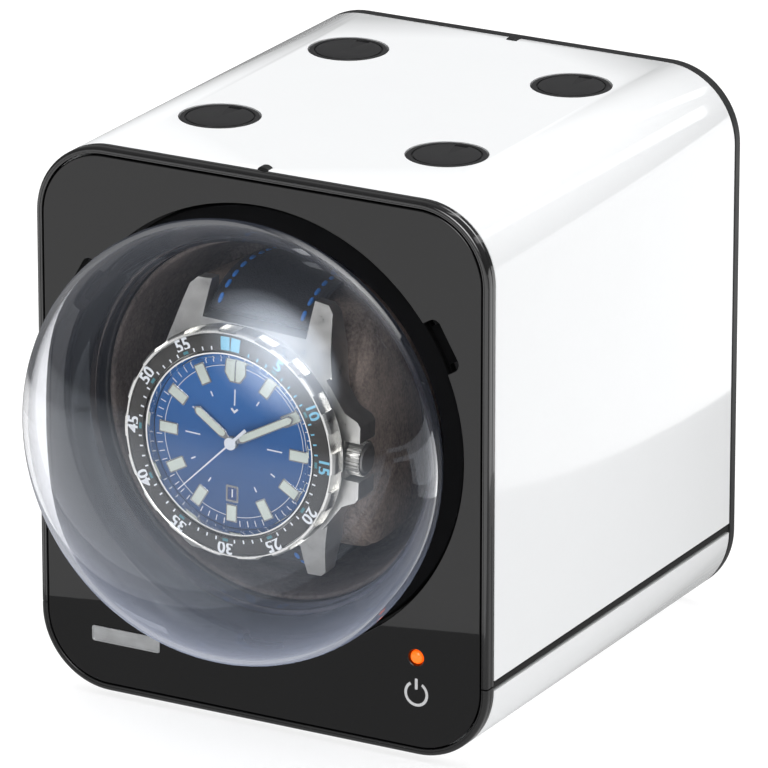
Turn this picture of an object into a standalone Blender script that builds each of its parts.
"""Watch winder box: a free-standing cube that slowly turns an automatic watch behind a clear dome.

Everything is in metres, +Z up, the front faces -Y. The origin is on the ground under the middle
of the whole object, dome included. Round pieces about the window's axis are drawn in a frame of
their own, the opening frame: x to the right, y up and z out of the front panel's face.
"""
import math

import bmesh
import bpy
from mathutils import Matrix, Vector

MM = 0.001
GAP = 0.3 * MM                      # air between pieces that touch

# ---- the box ----
BOX_WIDTH = 105 * MM
BOX_HEIGHT = 118 * MM
BOX_DEPTH = 110.5 * MM
FOOT_HEIGHT = 1.5 * MM
CORNER_RADIUS = 16 * MM
WALL = 2.4 * MM
BEZEL_DEPTH = 2.75 * MM
PANEL_INSET = 1.75 * MM
REAR_THICKNESS = 2.0 * MM
SEAM_LOW = 17.4 * MM
SEAM_HIGH = 19.6 * MM
CORNER_STEPS = 6

# ---- the window and the clear dome ----
AXIS_HEIGHT = 66 * MM
OPENING_RADIUS = 46.9 * MM
NOTCH_RADIUS = 50.1 * MM
NOTCH_HALF_WIDTH = 5.6 * MM
LUG_ANGLES = (30, 150, 270)
DOME_RADIUS = 46.5 * MM
DOME_CENTRE = 11.7 * MM             # how far the widest ring stands in front of the panel
DOME_REACH = 26.4 * MM              # from the widest ring to the front of the dome
DOME_WALL = 1.2 * MM
NECK_RADIUS = 40.8 * MM
FLANGE_RADIUS = 46.4 * MM
FLANGE_THICKNESS = 1.5 * MM
LUG_RADIUS = 49.2 * MM
LUG_HALF_WIDTH = 4.2 * MM
ROUND_STEPS = 32

# ---- the turning cup and its drive, depths measured back from the panel's face ----
CUP_FRONT = 5.6 * MM
CUP_BACK = 45 * MM
CUP_RADIUS = 41 * MM
CUP_WALL = 1.6 * MM
CUP_LIP_RADIUS = 42.8 * MM
LINING_THICKNESS = 1.1 * MM
CARRIER_FRONT = 53 * MM
CARRIER_THICKNESS = 3 * MM
AXLE_RADIUS = 2.75 * MM
AXLE_BORE = 3.0 * MM
GEAR_FRONT = 58 * MM
GEAR_THICKNESS = 5 * MM
GEAR_MODULE = 1.0 * MM
DRIVEN_TEETH = 44
PINION_TEETH = 11
BRACKET_FRONT = 66 * MM
BRACKET_THICKNESS = 2.5 * MM
MOTOR_RADIUS = 12 * MM
MOTOR_BACK = 93 * MM

# ---- controls ----
LED_X, LED_Z = 36.1 * MM, 22.6 * MM
LED_RADIUS = 1.45 * MM
TOUCH_X, TOUCH_Z = 36.2 * MM, 14.8 * MM
REAR_CONTROL_HEIGHT = 32 * MM
JACK_X = -24 * MM
DIRECTION_X = 0.0
TURNS_X = 22 * MM

# ---- top plugs and feet, at the same four places so that boxes stack ----
STUD_X = 26.5 * MM
STUD_DEPTHS = (30.1 * MM, 83.8 * MM)
PLUG_RADIUS = 8.3 * MM
PLUG_RECESS_RADIUS = 8.6 * MM
PLUG_DEPTH = 4.5 * MM
FOOT_RADIUS = 6.5 * MM

# ---- the watch, distances measured forward from the panel's face ----
WATCH_LEAN = math.radians(-2)
CASE_RADIUS = 21.8 * MM
CASE_BACK, CASE_FRONT = 0.6 * MM, 8.4 * MM
LUG_SPREAD = 17.6 * MM
LUG_REACH = 29 * MM
STRAP_HALF_WIDTH = 11.7 * MM
STRAP_THICKNESS = 2.2 * MM
DIAL_RADIUS = 18.35 * MM
DIAL_FRONT = 10.2 * MM
BEZEL_RADIUS = 24.4 * MM
CROWN_HEIGHT = 4.2 * MM
HOUR_ANGLE, MINUTE_ANGLE, SECOND_ANGLE = 303, 60, 224

# ---- the cushion ----
CUSHION_HALF_WIDTH = 25 * MM
CUSHION_HALF_HEIGHT = 28.5 * MM
CUSHION_FRONT = 0.2 * MM
CUSHION_BACK = 35.6 * MM
CUSHION_ARCH = 42 * MM

# ---- what follows from them ----
DOME_FRONT = DOME_CENTRE + DOME_REACH
TOTAL_DEPTH = DOME_FRONT + BOX_DEPTH
FRONT_Y = DOME_FRONT - TOTAL_DEPTH / 2
REAR_Y = FRONT_Y + BOX_DEPTH
SHELL_FRONT_Y = FRONT_Y + BEZEL_DEPTH + GAP
SHELL_BACK_Y = REAR_Y - REAR_THICKNESS - GAP
BOX_BOTTOM = FOOT_HEIGHT
BOX_TOP = FOOT_HEIGHT + BOX_HEIGHT
HALF_WIDTH = BOX_WIDTH / 2
FLANGE_FRONT = BEZEL_DEPTH + GAP
FLANGE_BACK = FLANGE_FRONT + FLANGE_THICKNESS
GEAR_DISTANCE = GEAR_MODULE * (DRIVEN_TEETH + PINION_TEETH) / 2

COLOURS = {                         # name: (colour, roughness, metallic)
    "white_gloss": ((0.88, 0.89, 0.90), 0.12, 0.0),
    "black_gloss": ((0.015, 0.015, 0.016), 0.15, 0.0),
    "panel_gloss": ((0.03, 0.03, 0.032), 0.08, 0.0),
    "black_plastic": ((0.02, 0.02, 0.021), 0.45, 0.0),
    "rubber": ((0.018, 0.018, 0.018), 0.7, 0.0),
    "clear": ((0.85, 0.9, 0.95), 0.05, 0.0),
    "velour": ((0.11, 0.085, 0.07), 0.95, 0.0),
    "nylon": ((0.75, 0.74, 0.68), 0.4, 0.0),
    "steel": ((0.62, 0.62, 0.63), 0.25, 1.0),
    "brass": ((0.75, 0.58, 0.28), 0.3, 1.0),
    "board_green": ((0.03, 0.2, 0.09), 0.4, 0.0),
    "led_orange": ((1.0, 0.25, 0.02), 0.3, 0.0),
    "dial_blue": ((0.02, 0.07, 0.3), 0.25, 0.3),
    "insert_grey": ((0.06, 0.06, 0.06), 0.35, 0.0),
    "strap_black": ((0.02, 0.022, 0.03), 0.6, 0.0),
    "hand_white": ((0.85, 0.87, 0.85), 0.35, 0.0),
}


# ---------------------------------------------------------------- tools
def clear_scene():
    for obj in list(bpy.data.objects):
        bpy.data.objects.remove(obj, do_unlink=True)


def make_collection(name):
    collection = bpy.data.collections.new(name)
    bpy.context.scene.collection.children.link(collection)
    return collection


def make_materials():
    materials = {}
    for name, (colour, roughness, metallic) in COLOURS.items():
        material = bpy.data.materials.new(name)
        material.use_nodes = True
        shader = material.node_tree.nodes["Principled BSDF"]
        shader.inputs["Base Color"].default_value = (*colour, 1.0)
        shader.inputs["Roughness"].default_value = roughness
        shader.inputs["Metallic"].default_value = metallic
        materials[name] = material
    return materials


def empty(name, parent=None, location=(0, 0, 0), rotation=(0, 0, 0)):
    obj = bpy.data.objects.new(name, None)
    PARTS.objects.link(obj)
    obj.parent = parent
    obj.location = location
    obj.rotation_euler = rotation
    return obj


def place(name, mesh, material=None, parent=None, location=(0, 0, 0), rotation=(0, 0, 0)):
    """Link a mesh as a part, or as a cutter when it has no material."""
    obj = bpy.data.objects.new(name, mesh)
    (PARTS if material else CUTTERS).objects.link(obj)
    if material:
        mesh.materials.append(MATERIALS[material])
        mesh.shade_smooth()
        mesh.set_sharp_from_angle(angle=math.radians(35))
    else:
        obj.hide_render = True
        obj.display_type = "WIRE"
    obj.parent = parent
    obj.location = location
    obj.rotation_euler = rotation
    return obj


def mesh_from(name, build):
    """A mesh filled by build(bm)."""
    mesh = bpy.data.meshes.new(name)
    bm = bmesh.new()
    build(bm)
    bmesh.ops.recalc_face_normals(bm, faces=bm.faces)
    bm.to_mesh(mesh)
    bm.free()
    return mesh


def add_block(bm, low, high, round_axis=None, radius=0.0, steps=CORNER_STEPS):
    """A box between two corners, with its four edges along round_axis rounded."""
    low, high = Vector(low), Vector(high)
    size = high - low
    matrix = Matrix.Translation((low + high) / 2) @ Matrix.Diagonal((*size, 1.0))
    verts = bmesh.ops.create_cube(bm, size=1.0, matrix=matrix)["verts"]
    if round_axis is not None:
        edges = {edge for vert in verts for edge in vert.link_edges}
        along = [edge for edge in edges
                 if abs((edge.verts[0].co - edge.verts[1].co)[round_axis]) > size[round_axis] / 2]
        bmesh.ops.bevel(bm, geom=along, offset=radius, segments=steps, profile=0.5, affect="EDGES")


def add_drum(bm, centre, radius, low, high, steps=24):
    """A cylinder along local z at (x, y) centre."""
    matrix = Matrix.Translation((centre[0], centre[1], (low + high) / 2))
    bmesh.ops.create_cone(bm, cap_ends=True, segments=steps, radius1=radius, radius2=radius,
                          depth=high - low, matrix=matrix)


def block(name, low, high, material=None, round_axis=None, radius=0.0, steps=CORNER_STEPS, **where):
    mesh = mesh_from(name, lambda bm: add_block(bm, low, high, round_axis, radius, steps))
    return place(name, mesh, material, **where)


def drums(name, centres, radius, low, high, material=None, steps=24, **where):
    def build(bm):
        for centre in centres:
            add_drum(bm, centre, radius, low, high, steps)
    return place(name, mesh_from(name, build), material, **where)


def turned(name, profile, material=None, closed=False, steps=ROUND_STEPS, **where):
    """Turn (radius, height) points about local z; the outer side runs from top to bottom."""
    mesh = bpy.data.meshes.new(name)
    count = len(profile)
    edges = [(i, i + 1) for i in range(count - 1)]
    if closed:
        edges.append((count - 1, 0))
    mesh.from_pydata([(radius, 0, height) for radius, height in profile], edges, [])
    obj = place(name, mesh, material, **where)
    screw = obj.modifiers.new("turn", "SCREW")
    screw.axis = "Z"
    screw.steps = steps
    screw.render_steps = steps
    screw.use_merge_vertices = True
    screw.merge_threshold = 0.00001
    screw.use_smooth_shade = True
    return obj


def combine(target, tool, operation):
    modifier = target.modifiers.new(operation.lower(), "BOOLEAN")
    modifier.operation = operation
    modifier.object = tool
    modifier.solver = "EXACT"


def cut(target, *tools):
    for tool in tools:
        combine(target, tool, "DIFFERENCE")


def join(target, *tools):
    for tool in tools:
        combine(target, tool, "UNION")


def arc(centre, radius_x, radius_y, start, end, steps):
    """Points of an elliptic arc, angles in degrees."""
    points = []
    for i in range(steps + 1):
        angle = math.radians(start + (end - start) * i / steps)
        points.append((centre[0] + radius_x * math.cos(angle), centre[1] + radius_y * math.sin(angle)))
    return points


def smooth_path(points, steps=4):
    """A Catmull-Rom path through 2D points."""
    padded = [points[0], *points, points[-1]]
    path = []
    for a, b, c, d in zip(padded, padded[1:], padded[2:], padded[3:]):
        for i in range(steps):
            t = i / steps
            path.append(tuple(
                0.5 * (2 * q + (r - p) * t + (2 * p - 5 * q + 4 * r - s) * t ** 2
                       + (3 * q - p - 3 * r + s) * t ** 3)
                for p, q, r, s in zip(a, b, c, d)))
    path.append(points[-1])
    return path


def box_outline(inset):
    """Corners (x, z) of the box's outline, drawn in by inset."""
    return ((-HALF_WIDTH + inset, BOX_BOTTOM + inset), (HALF_WIDTH - inset, BOX_TOP - inset))


def outline_block(name, inset, front_y, back_y, material=None):
    """The box's rounded outline, drawn in by inset, between two depths."""
    (x0, z0), (x1, z1) = box_outline(inset)
    return block(name, (x0, front_y, z0), (x1, back_y, z1), material, round_axis=1,
                 radius=CORNER_RADIUS - inset)


def slab(name, low_z, high_z):
    """A cutter as wide and deep as the object and more, between two heights."""
    reach = BOX_WIDTH
    return block(name, (-reach, -reach, low_z), (reach, reach, high_z))


# ---------------------------------------------------------------- the housing
def stud_places():
    return [(x, FRONT_Y + depth) for depth in STUD_DEPTHS for x in (-STUD_X, STUD_X)]


def post_places(height):
    """Screw posts of the rear panel at one height, in the rear frame."""
    return [(x, height) for x in (-36 * MM, 36 * MM)]


UPPER_POST_HEIGHT = BOX_TOP - 6 * MM
LOWER_POST_HEIGHT = BOX_BOTTOM + 6 * MM


def add_posts(shell, label, height, rear):
    """Two posts that the rear panel's screws bite into."""
    posts = drums(label + "_posts", post_places(height), 4 * MM, -20 * MM, -REAR_THICKNESS - GAP,
                  steps=16, parent=rear)
    holes = drums(label + "_post_holes", post_places(height), 1.6 * MM, -14 * MM, 0, steps=12,
                  parent=rear)
    join(shell, posts)
    cut(shell, holes)


def make_upper_shell(rear):
    shell = outline_block("upper_shell", 0, SHELL_FRONT_Y, SHELL_BACK_Y, "white_gloss")
    inside = outline_block("shell_inside", WALL, SHELL_FRONT_Y - BOX_DEPTH, SHELL_BACK_Y + BOX_DEPTH)
    cut(shell, inside, slab("below_seam", -BOX_HEIGHT, SEAM_HIGH))
    floor = BOX_TOP - PLUG_DEPTH - GAP
    join(shell, drums("recess_cups", stud_places(), 10.2 * MM, floor - 1.6 * MM, BOX_TOP - 1 * MM))
    cut(shell, drums("recesses", stud_places(), PLUG_RECESS_RADIUS, floor, BOX_TOP + 5 * MM))
    add_posts(shell, "upper", UPPER_POST_HEIGHT, rear)
    for label, x, y in latch_places():
        cut(shell, block(label + "_latch_slot", (x - 1.3 * MM, y - 1.2 * MM, BOX_TOP - 1.7 * MM),
                         (x + 1.3 * MM, y + 1.2 * MM, BOX_TOP + 5 * MM)))


def make_base_tray(rear):
    tray = outline_block("base_tray", 0, SHELL_FRONT_Y, SHELL_BACK_Y, "white_gloss")
    inside = outline_block("tray_inside", WALL, SHELL_FRONT_Y - BOX_DEPTH, SHELL_BACK_Y + BOX_DEPTH)
    cut(tray, inside, slab("above_seam", SEAM_LOW, 2 * BOX_HEIGHT))
    cut(tray, drums("foot_holes", stud_places(), 2.3 * MM, 0, 10 * MM, steps=16))
    add_posts(tray, "lower", LOWER_POST_HEIGHT, rear)


def make_seam_gaskets():
    for label, side in (("left", -1), ("right", 1)):
        xs = sorted((side * (HALF_WIDTH - WALL), side * (HALF_WIDTH - GAP)))
        block("seam_gasket_" + label, (xs[0], SHELL_FRONT_Y, SEAM_LOW + GAP),
              (xs[1], SHELL_BACK_Y, SEAM_HIGH - GAP), "rubber")


def make_bezel():
    middle = (SEAM_LOW + SEAM_HIGH) / 2
    for label, low, high in (("upper", -BOX_HEIGHT, middle + GAP / 2),
                             ("lower", middle - GAP / 2, 2 * BOX_HEIGHT)):
        ring = outline_block("bezel_" + label, 0, FRONT_Y, FRONT_Y + BEZEL_DEPTH, "black_gloss")
        inside = outline_block("bezel_inside_" + label, PANEL_INSET - GAP, FRONT_Y - BOX_DEPTH,
                               FRONT_Y + BOX_DEPTH)
        cut(ring, inside, slab("bezel_split_" + label, low, high))


def notch_cutters(opening):
    def build(bm):
        for angle in LUG_ANGLES:
            piece = bmesh.new()
            add_block(piece, (NECK_RADIUS, -NOTCH_HALF_WIDTH, -5 * MM),
                      (NOTCH_RADIUS, NOTCH_HALF_WIDTH, 5 * MM), round_axis=2, radius=1.6 * MM, steps=4)
            bmesh.ops.rotate(piece, verts=piece.verts, cent=(0, 0, 0),
                             matrix=Matrix.Rotation(math.radians(angle), 3, "Z"))
            scratch = bpy.data.meshes.new("scratch")
            piece.to_mesh(scratch)
            piece.free()
            bm.from_mesh(scratch)
            bpy.data.meshes.remove(scratch)
    return place("notches", mesh_from("notches", build), parent=opening)


def in_opening(x, z):
    """A box place (x, height) as (x, y) of the opening frame."""
    return (x, z - AXIS_HEIGHT)


def make_front_panel(opening):
    panel = outline_block("front_panel", PANEL_INSET, FRONT_Y, FRONT_Y + BEZEL_DEPTH, "panel_gloss")
    window = drums("window", [(0, 0)], OPENING_RADIUS, -10 * MM, 10 * MM, steps=48, parent=opening)
    cut(panel, window, notch_cutters(opening))
    bosses = [in_opening(x, z) for x, z in ((31 * MM, 22.5 * MM), (43 * MM, 21 * MM))]
    join(panel, drums("board_bosses", bosses, 1.8 * MM, -5 * MM + GAP, -2 * MM, steps=12, parent=opening))
    cut(panel, drums("led_hole", [in_opening(LED_X, LED_Z)], LED_RADIUS + GAP, -10 * MM, 10 * MM,
                     steps=16, parent=opening))


def make_guide_plate(opening):
    """Carries the bayonet track behind the panel; the dome's lugs turn in front of it."""
    back, front = -9 * MM, -FLANGE_BACK - GAP
    ring_radius = 49.4 * MM
    plate = block("guide_plate", (-48.5 * MM, -40 * MM, back + 2 * MM), (48.5 * MM, 46 * MM, front),
                  "black_plastic", round_axis=2, radius=8 * MM, steps=4, parent=opening)
    posts = [in_opening(x, z) for x, z in ((-42 * MM, 105 * MM), (42 * MM, 105 * MM),
                                           (-43 * MM, 31 * MM), (43 * MM, 31 * MM))]
    join(plate, drums("guide_ring", [(0, 0)], ring_radius, back, front, steps=48, parent=opening),
         drums("guide_posts", posts, 3.2 * MM, front - 1 * MM, -BEZEL_DEPTH - GAP, steps=16, parent=opening))
    cut(plate, drums("guide_bore", [(0, 0)], 43.5 * MM, -20 * MM, 0, steps=48, parent=opening))


def make_rear_panel(rear):
    panel = outline_block("rear_panel", 0, REAR_Y - REAR_THICKNESS, REAR_Y, "black_plastic")
    places = post_places(UPPER_POST_HEIGHT) + post_places(LOWER_POST_HEIGHT)
    cut(panel, drums("rear_screw_holes", places, 1.6 * MM, -5 * MM, 5 * MM, steps=12, parent=rear),
        drums("rear_screw_seats", places, 3.1 * MM, -1.5 * MM, 5 * MM, steps=12, parent=rear),
        drums("jack_hole", [(-JACK_X, REAR_CONTROL_HEIGHT)], 4.3 * MM, -5 * MM, 5 * MM, parent=rear))
    for label, x in (("direction", DIRECTION_X), ("turns", TURNS_X)):
        cut(panel, block(label + "_slot", (-x - 5.2 * MM, REAR_CONTROL_HEIGHT - 1.6 * MM, -5 * MM),
                         (-x + 5.2 * MM, REAR_CONTROL_HEIGHT + 1.6 * MM, 5 * MM), parent=rear))


def make_rear_screws(rear):
    places = post_places(UPPER_POST_HEIGHT) + post_places(LOWER_POST_HEIGHT)
    profile = [(0, -0.1 * MM), (2.4 * MM, -0.1 * MM), (2.8 * MM, -0.4 * MM), (2.8 * MM, -1.2 * MM),
               (1.3 * MM, -1.2 * MM), (1.3 * MM, -11 * MM), (0, -11 * MM)]
    for number, (x, y) in enumerate(places, 1):
        turned(f"rear_screw_{number}", profile, "steel", steps=12, parent=rear, location=(x, y, 0))


def latch_places():
    """Label, x and y of the two little tabs on the top edge."""
    return (("front", -0.9 * MM, SHELL_FRONT_Y + 1.2 * MM), ("rear", 0.4 * MM, SHELL_BACK_Y - 1.2 * MM))


def make_latch_tabs():
    for label, x, y in latch_places():
        block(label + "_latch_tab", (x - 1.0 * MM, y - 0.9 * MM, BOX_TOP - 1.4 * MM),
              (x + 1.0 * MM, y + 0.9 * MM, BOX_TOP + 0.6 * MM), "black_plastic", round_axis=1,
              radius=0.4 * MM, steps=2)


def make_feet():
    profile = [(0, 6 * MM), (2 * MM, 6 * MM), (2 * MM, 1.2 * MM), (6.1 * MM, 1.2 * MM),
               (FOOT_RADIUS, 0.8 * MM), (FOOT_RADIUS, 0.3 * MM), (6.1 * MM, 0), (0, 0)]
    for number, (x, y) in enumerate(stud_places(), 1):
        turned(f"foot_{number}", profile, "rubber", steps=16, location=(x, y, 0))


def make_top_plugs():
    groove_out, groove_in, groove = 7.3 * MM, 6.9 * MM, 0.5 * MM
    top, bottom = 0, -PLUG_DEPTH
    profile = [(0, top), (groove_in, top), (groove_in, top - groove), (groove_out, top - groove),
               (groove_out, top), (PLUG_RADIUS - 0.3 * MM, top), (PLUG_RADIUS, top - 0.3 * MM),
               (PLUG_RADIUS, bottom), (0, bottom)]
    for number, (x, y) in enumerate(stud_places(), 1):
        pivot = empty(f"plug_{number}_slide", location=(x, y, BOX_TOP))
        plug = turned(f"top_plug_{number}", profile, "rubber", steps=20, parent=pivot)
        cut(plug, block(f"pry_notch_{number}", (-1.5 * MM, groove_in - 1.3 * MM, -1.2 * MM),
                        (1.5 * MM, groove_in + 0.2 * MM, 1 * MM), parent=pivot))


# ---------------------------------------------------------------- the dome
def dome_curve(radius, reach, start_height, steps):
    """Quarter-and-more of the dome's section, from its tip down to start_height."""
    end = math.degrees(math.asin((start_height - DOME_CENTRE) / reach))
    return [(max(x, 0.0), y) for x, y in arc((0, DOME_CENTRE), radius, reach, 90, end, steps)]


def make_dome(opening):
    pull = empty("cover_pull_axis", opening)
    turn = empty("cover_turn_axis", pull)
    neck_height = -1 * MM
    outer = dome_curve(DOME_RADIUS, DOME_REACH, neck_height, 8)
    inner = dome_curve(DOME_RADIUS - DOME_WALL, DOME_REACH - DOME_WALL, neck_height, 8)
    rim = [(outer[-1][0], -FLANGE_FRONT), (FLANGE_RADIUS, -FLANGE_FRONT), (FLANGE_RADIUS, -FLANGE_BACK),
           (inner[-1][0], -FLANGE_BACK)]
    dome = turned("dome_cover", outer + rim + inner[::-1], "clear", parent=turn)
    for angle in LUG_ANGLES:
        join(dome, block(f"lug_{angle}", (FLANGE_RADIUS - 1 * MM, -LUG_HALF_WIDTH, -FLANGE_BACK),
                         (LUG_RADIUS, LUG_HALF_WIDTH, -FLANGE_FRONT), parent=turn,
                         rotation=(0, 0, math.radians(angle))))
    low, high = -FLANGE_FRONT + GAP, -1.6 * MM
    ring = [(46.2 * MM, high), (46.2 * MM, low), (41.4 * MM, low), (41.4 * MM, high)]
    turned("cover_seal_ring", ring, "rubber", closed=True, parent=pull)


# ---------------------------------------------------------------- the turning cup
def make_cup(rotor):
    inner, floor = CUP_RADIUS - CUP_WALL, -CUP_BACK + 2.1 * MM
    hub_radius, hub_back = 8 * MM, -CUP_BACK - 4.5 * MM
    profile = [(0, floor), (inner, floor), (inner, -CUP_FRONT), (CUP_LIP_RADIUS, -CUP_FRONT),
               (CUP_LIP_RADIUS, -CUP_FRONT - 1.2 * MM), (CUP_RADIUS, -CUP_FRONT - 1.2 * MM),
               (CUP_RADIUS, -CUP_BACK), (hub_radius, -CUP_BACK), (hub_radius, hub_back),
               (AXLE_BORE, hub_back), (AXLE_BORE, -CUP_BACK - 1 * MM), (0, -CUP_BACK - 1 * MM)]
    turned("rotor_cup", profile, "black_plastic", parent=rotor)

    outside = inner - GAP
    inside = outside - LINING_THICKNESS
    front, back = -CUP_FRONT - 0.6 * MM, floor + GAP
    lining = [(0, back + LINING_THICKNESS), (inside, back + LINING_THICKNESS), (inside, front),
              (outside, front), (outside, back), (0, back)]
    turned("cup_lining", lining, "velour", parent=rotor)


def make_cushion(rotor):
    cushion = block("watch_cushion", (-CUSHION_HALF_WIDTH, -CUSHION_HALF_HEIGHT, -CUSHION_BACK),
                    (CUSHION_HALF_WIDTH, CUSHION_HALF_HEIGHT, CUSHION_FRONT), "velour",
                    round_axis=2, radius=8 * MM, steps=4, parent=rotor)
    arch = place("cushion_arch", mesh_from("cushion_arch", lambda bm: add_drum(
        bm, (0, 0), CUSHION_ARCH, -40 * MM, 40 * MM, 64)), parent=rotor,
        location=(0, 0, CUSHION_FRONT - CUSHION_ARCH), rotation=(0, math.radians(90), 0))
    back_corners = block("cushion_back_corners", (-40 * MM, -CUSHION_HALF_HEIGHT, -CUSHION_BACK),
                         (40 * MM, CUSHION_HALF_HEIGHT, 2 * CUSHION_BACK), round_axis=0,
                         radius=7 * MM, steps=4, parent=rotor)
    combine(cushion, arch, "INTERSECT")
    combine(cushion, back_corners, "INTERSECT")


# ---------------------------------------------------------------- the drive
def gear_mesh(name, teeth, low, high, first_angle):
    """A spur gear with straight-sided teeth; the first tooth points along first_angle."""
    pitch_radius = GEAR_MODULE * teeth / 2
    root, tip = pitch_radius - 1.25 * GEAR_MODULE, pitch_radius + 0.9 * GEAR_MODULE
    step = 2 * math.pi / teeth

    def build(bm):
        ring = []
        for tooth in range(teeth):
            middle = first_angle + tooth * step
            for radius, share in ((root, -0.27), (tip, -0.1), (tip, 0.1), (root, 0.27)):
                angle = middle + share * step
                ring.append(bm.verts.new((radius * math.cos(angle), radius * math.sin(angle), low)))
        face = bm.faces.new(ring)
        top = bmesh.ops.extrude_face_region(bm, geom=[face])["geom"]
        bmesh.ops.translate(bm, vec=(0, 0, high - low),
                            verts=[item for item in top if isinstance(item, bmesh.types.BMVert)])
    return mesh_from(name, build)


def make_axle(rotor, opening):
    drums("rotor_axle", [(0, 0)], AXLE_RADIUS, -68.5 * MM, -CUP_BACK - 1.3 * MM, "steel", parent=rotor)
    front, seat, back = -CARRIER_FRONT + 1.8 * MM, -CARRIER_FRONT + GAP, -CARRIER_FRONT - 3.9 * MM
    bush = [(9.5 * MM, front), (9.5 * MM, seat), (7 * MM, seat), (7 * MM, back), (AXLE_BORE, back),
            (AXLE_BORE, front)]
    turned("axle_bearing", bush, "brass", closed=True, steps=20, parent=opening)
    clip = [(5.2 * MM, -66.2 * MM), (5.2 * MM, -67.2 * MM), (AXLE_BORE, -67.2 * MM), (AXLE_BORE, -66.2 * MM)]
    turned("axle_clip", clip, "steel", closed=True, steps=16, parent=rotor)


def make_gears(rotor, motor_axis):
    low, high = -GEAR_FRONT - GEAR_THICKNESS, -GEAR_FRONT
    driven = place("driven_gear", gear_mesh("driven_gear", DRIVEN_TEETH, low, high, -math.pi / 2),
                   "nylon", parent=rotor)
    join(driven, drums("gear_hub", [(0, 0)], 7 * MM, low - 2.8 * MM, low + 1 * MM, parent=rotor))
    cut(driven, drums("gear_bore", [(0, 0)], AXLE_BORE, -80 * MM, -50 * MM, parent=rotor))
    half_pitch = math.pi / PINION_TEETH
    pinion = place("motor_pinion", gear_mesh("motor_pinion", PINION_TEETH, low, high, math.pi / 2 + half_pitch),
                   "nylon", parent=motor_axis)
    cut(pinion, drums("pinion_bore", [(0, 0)], 1.3 * MM, -80 * MM, -50 * MM, steps=12, parent=motor_axis))
    drums("motor_shaft", [(0, 0)], 1.0 * MM, -72.5 * MM, -GEAR_FRONT + 0.5 * MM, "steel", steps=12,
          parent=motor_axis)


def make_carrier(opening):
    """The partition that holds the bearing and the motor bracket."""
    low = in_opening(-HALF_WIDTH + WALL + 0.5 * MM, BOX_BOTTOM + WALL + GAP)
    high = in_opening(HALF_WIDTH - WALL - 0.5 * MM, 112.5 * MM)
    back = -CARRIER_FRONT - CARRIER_THICKNESS
    carrier = block("drive_carrier", (*low, back), (*high, -CARRIER_FRONT), "black_plastic", round_axis=2,
                    radius=14 * MM, steps=4, parent=opening)
    window = block("cable_window", (*in_opening(22 * MM, 8 * MM), back - 5 * MM),
                   (*in_opening(36 * MM, 16 * MM), -CARRIER_FRONT + 5 * MM), parent=opening)
    cut(carrier, drums("bearing_seat", [(0, 0)], 7.3 * MM, -80 * MM, -40 * MM, parent=opening), window)


def make_motor(opening):
    back = -BRACKET_FRONT - BRACKET_THICKNESS
    bracket = block("motor_bracket", (-27 * MM, -42 * MM, back), (27 * MM, -11.5 * MM, -BRACKET_FRONT),
                    "steel", round_axis=2, radius=3 * MM, steps=3, parent=opening)
    posts = ((-24 * MM, -14.6 * MM), (24 * MM, -14.6 * MM), (-16 * MM, -38 * MM), (16 * MM, -38 * MM))
    join(bracket, drums("bracket_posts", posts, 2.6 * MM, -BRACKET_FRONT - 1 * MM,
                        -CARRIER_FRONT - CARRIER_THICKNESS - GAP, steps=12, parent=opening))
    cut(bracket, drums("shaft_hole", [(0, -GEAR_DISTANCE)], 1.6 * MM, -80 * MM, -60 * MM, steps=12,
                       parent=opening))
    front = back - GAP
    profile = [(0, -73 * MM), (1.3 * MM, -73 * MM), (1.3 * MM, front), (MOTOR_RADIUS - 0.6 * MM, front),
               (MOTOR_RADIUS, front - 0.6 * MM), (MOTOR_RADIUS, -MOTOR_BACK), (3.5 * MM, -MOTOR_BACK),
               (3.5 * MM, -MOTOR_BACK - 1.5 * MM), (0, -MOTOR_BACK - 1.5 * MM)]
    turned("gear_motor", profile, "steel", steps=20, parent=opening, location=(0, -GEAR_DISTANCE, 0))


# ---------------------------------------------------------------- electronics
def make_front_controls(opening):
    low, high = in_opening(29 * MM, 8 * MM), in_opening(45 * MM, 25 * MM)
    block("front_board", (*low, -6.6 * MM), (*high, -5 * MM), "board_green", parent=opening)
    lens = [(0, 0.3 * MM), (0.9 * MM, 0.15 * MM), (LED_RADIUS, -0.3 * MM), (LED_RADIUS, -3.6 * MM),
            (1.9 * MM, -3.6 * MM), (1.9 * MM, -4.7 * MM), (0, -4.7 * MM)]
    turned("status_led", lens, "led_orange", steps=16, parent=opening,
           location=(*in_opening(LED_X, LED_Z), 0))
    drums("touch_pad", [in_opening(TOUCH_X, TOUCH_Z)], 4.5 * MM, -4.7 * MM, -BEZEL_DEPTH - GAP,
          "brass", steps=20, parent=opening)


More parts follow.
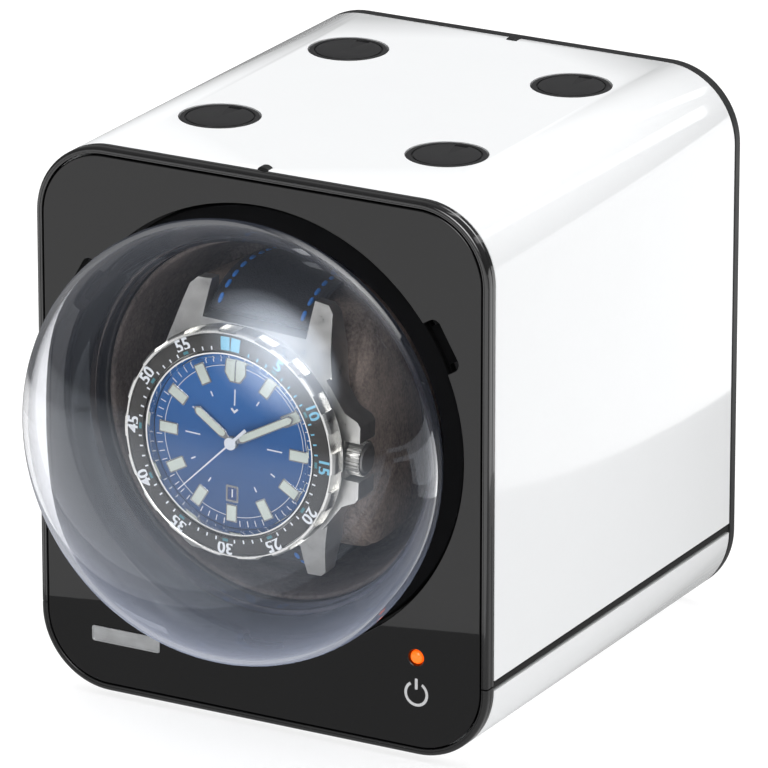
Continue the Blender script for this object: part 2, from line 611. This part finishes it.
def make_rear_controls(rear):
    """The board inside the rear panel with the power socket and the two slide switches."""
    board_front = -10.4 * MM
    block("main_board", (-34 * MM, 20 * MM, board_front - 1.6 * MM), (36 * MM, 44 * MM, board_front),
          "board_green", parent=rear)
    socket = [(0, -1.6 * MM), (0.9 * MM, -1.6 * MM), (0.9 * MM, -8 * MM), (3.0 * MM, -8 * MM),
              (3.0 * MM, -0.3 * MM), (4.0 * MM, -0.3 * MM), (4.0 * MM, -9 * MM), (0, -9 * MM)]
    jack = turned("dc_jack", socket, "black_plastic", steps=16, parent=rear,
                  location=(-JACK_X, REAR_CONTROL_HEIGHT, 0))
    frame = block("jack_housing", (-JACK_X - 4.5 * MM, REAR_CONTROL_HEIGHT - 5 * MM, board_front + GAP),
                  (-JACK_X + 4.5 * MM, REAR_CONTROL_HEIGHT + 5 * MM, -8.4 * MM), parent=rear)
    join(jack, frame)
    for label, x in (("direction", DIRECTION_X), ("turns", TURNS_X)):
        block(label + "_switch", (-x - 6.5 * MM, REAR_CONTROL_HEIGHT - 3.5 * MM, board_front + GAP),
              (-x + 6.5 * MM, REAR_CONTROL_HEIGHT + 3.5 * MM, -5 * MM), "steel", parent=rear)
        slide = empty(label + "_slide", rear, (-x, REAR_CONTROL_HEIGHT, 0))
        block(label + "_knob", (-1.8 * MM, -1.3 * MM, -5 * MM + GAP), (1.8 * MM, 1.3 * MM, -0.2 * MM),
              "black_plastic", parent=slide)


# ---------------------------------------------------------------- the watch
def make_case(watch):
    case = drums("watch_case", [(0, 0)], CASE_RADIUS, CASE_BACK, CASE_FRONT, "steel", steps=ROUND_STEPS,
                 parent=watch)
    lugs = block("watch_lugs", (-LUG_SPREAD, -LUG_REACH, -3 * MM), (LUG_SPREAD, LUG_REACH, CASE_FRONT - 0.8 * MM),
                 parent=watch)
    arch_radius = 60 * MM
    for label, crown_height, operation in (("over", CASE_FRONT - 0.8 * MM, "INTERSECT"),
                                           ("under", CASE_BACK, "DIFFERENCE")):
        arch = place("lug_arch_" + label, mesh_from("lug_arch_" + label, lambda bm: add_drum(
            bm, (0, 0), arch_radius, -30 * MM, 30 * MM, 96)), parent=watch,
            location=(0, 0, crown_height - arch_radius), rotation=(0, math.radians(90), 0))
        combine(lugs, arch, operation)
    join(case, lugs)
    join(case, block("crown_guard", (19 * MM, -9 * MM, 1 * MM), (27.2 * MM, 9 * MM, 7.4 * MM),
                     round_axis=2, radius=1.5 * MM, steps=2, parent=watch))
    for side in (1, -1):
        ys = sorted((0, -7 * side * MM))
        join(case, block("guard_slope", (0, ys[0], 1 * MM), (9.2 * MM, ys[1], 7.4 * MM), parent=watch,
                         location=(20.2 * MM, 14.9 * side * MM, 0), rotation=(0, 0, math.radians(-42.7 * side))))
    for label, side in (("upper", 1), ("lower", -1)):
        ys = sorted((side * 22.2 * MM, side * 35 * MM))
        cut(case, block("strap_gap_" + label, (-12 * MM, ys[0], -5 * MM), (12 * MM, ys[1], 12 * MM),
                        parent=watch))
    cut(case, block("crown_slot", (23.6 * MM, -4.1 * MM, -5 * MM), (30 * MM, 4.1 * MM, 12 * MM), parent=watch))
    cut(case, drums("stem_hole", [(0, 0)], 1.5 * MM, 20 * MM, 30 * MM, steps=12, parent=watch,
                    location=(0, 0, CROWN_HEIGHT), rotation=(0, math.radians(90), 0)))
    rehaut = [(19.4 * MM, 12.5 * MM), (19.4 * MM, 8 * MM), (18.65 * MM, 8 * MM), (18.65 * MM, 12.5 * MM)]
    join(case, turned("rehaut", rehaut, closed=True, parent=watch))


def make_dial(watch):
    drums("watch_dial", [(0, 0)], DIAL_RADIUS, CASE_FRONT + GAP, DIAL_FRONT, "dial_blue", steps=ROUND_STEPS,
          parent=watch)
    glass = [(0, 13.6 * MM), (9 * MM, 13.5 * MM), (15 * MM, 13.15 * MM), (DIAL_RADIUS, 12.7 * MM),
             (DIAL_RADIUS, 12.05 * MM), (0, 12.05 * MM)]
    turned("watch_crystal", glass, "clear", parent=watch)


def make_watch_bezel(watch):
    pivot = empty("watch_bezel_axis", watch)
    ring = [(23.8 * MM, 12.8 * MM), (BEZEL_RADIUS, 12.2 * MM), (BEZEL_RADIUS, 9.2 * MM), (23.7 * MM, 8.7 * MM),
            (19.7 * MM, 8.7 * MM), (19.7 * MM, 11.9 * MM), (23.5 * MM, 11.9 * MM), (23.5 * MM, 12.8 * MM)]
    turned("watch_bezel", ring, "steel", closed=True, parent=pivot)
    insert = [(23.2 * MM, 12.7 * MM), (23.2 * MM, 12.2 * MM), (19.8 * MM, 12.2 * MM), (19.8 * MM, 12.9 * MM)]
    turned("bezel_insert", insert, "insert_grey", closed=True, parent=pivot)


def make_hands(watch):
    """Label, clock angle, reach, tail, half width and depth of each hand."""
    hands = (("hour_hand", HOUR_ANGLE, 10.5 * MM, 0, 1.0 * MM, 10.5 * MM),
             ("minute_hand", MINUTE_ANGLE, 16 * MM, 0, 0.9 * MM, 11.05 * MM),
             ("second_hand", SECOND_ANGLE, 17 * MM, 5 * MM, 0.2 * MM, 11.6 * MM))
    thickness = 0.2 * MM
    for label, angle, reach, tail, half_width, depth in hands:
        pivot = empty(label + "_axis", watch, rotation=(0, 0, math.radians(-angle)))
        hand = drums(label, [(0, 0)], 1.4 * MM, depth, depth + thickness, "hand_white", steps=16, parent=pivot)
        join(hand, block(label + "_blade", (-half_width, -tail - half_width, depth),
                         (half_width, reach, depth + thickness), parent=pivot))


def make_crown(watch):
    axis = empty("crown_axis", watch, (0, 0, CROWN_HEIGHT), (0, math.radians(90), 0))
    profile = [(0, 27.4 * MM), (3.2 * MM, 27.4 * MM), (3.7 * MM, 26.9 * MM), (3.7 * MM, 24 * MM),
               (1.2 * MM, 24 * MM), (1.2 * MM, 20.4 * MM), (0, 20.4 * MM)]
    turned("watch_crown", profile, "steel", steps=16, parent=axis)


def strap_mesh(name, route):
    """An open ribbon along a route of (y, z) points, as wide as the strap."""
    path = smooth_path(route)

    def build(bm):
        rows = [[bm.verts.new((x, y, z)) for x in (-STRAP_HALF_WIDTH, STRAP_HALF_WIDTH)] for y, z in path]
        for first, second in zip(rows, rows[1:]):
            bm.faces.new((first[0], first[1], second[1], second[0]))
    return mesh_from(name, build)


def make_strap(watch):
    upper = [(23.6, 1.2), (26.8, -2.0), (29.4, -7.5), (30.6, -14), (31, -28), (29, -35.2),
             (22.5, -38.2), (8, -38.4), (-9.5, -38.4)]
    lower = [(-23.6, 1.2), (-26.8, -2.0), (-29.4, -7.5), (-30.6, -14), (-31, -28), (-29, -35.2),
             (-22.5, -38.2), (-14, -38.4)]
    for label, route in (("upper", upper), ("lower", lower)):
        name = "strap_" + label
        ribbon = place(name, strap_mesh(name, [(y * MM, z * MM) for y, z in route]), "strap_black",
                       parent=watch)
        solid = ribbon.modifiers.new("thickness", "SOLIDIFY")
        solid.thickness = STRAP_THICKNESS
        solid.offset = 0
        solid.use_even_offset = True
    buckle = block("strap_buckle", (-14 * MM, -17 * MM, -40.8 * MM), (14 * MM, -7 * MM, -39.7 * MM), "steel",
                   round_axis=2, radius=2 * MM, steps=2, parent=watch)
    cut(buckle, block("buckle_window", (-12 * MM, -15 * MM, -45 * MM), (12 * MM, -9 * MM, -35 * MM),
                      parent=watch))


# ---------------------------------------------------------------- the whole
def build():
    opening = empty("opening_frame", location=(0, FRONT_Y, AXIS_HEIGHT), rotation=(math.radians(90), 0, 0))
    rear = empty("rear_frame", location=(0, REAR_Y, 0), rotation=(math.radians(90), 0, math.radians(180)))
    rotor = empty("rotor_axis", opening)
    motor_axis = empty("motor_axis", opening, (0, -GEAR_DISTANCE, 0))
    watch = empty("watch_frame", rotor, rotation=(0, 0, WATCH_LEAN))

    make_upper_shell(rear)
    make_base_tray(rear)
    make_seam_gaskets()
    make_bezel()
    make_front_panel(opening)
    make_guide_plate(opening)
    make_rear_panel(rear)
    make_rear_screws(rear)
    make_latch_tabs()
    make_feet()
    make_top_plugs()
    make_dome(opening)
    make_cup(rotor)
    make_cushion(rotor)
    make_carrier(opening)
    make_axle(rotor, opening)
    make_gears(rotor, motor_axis)
    make_motor(opening)
    make_front_controls(opening)
    make_rear_controls(rear)
    make_case(watch)
    make_dial(watch)
    make_watch_bezel(watch)
    make_hands(watch)
    make_crown(watch)
    make_strap(watch)


clear_scene()
PARTS = make_collection("watch_winder_box")
CUTTERS = make_collection("cutters")
MATERIALS = make_materials()
build()
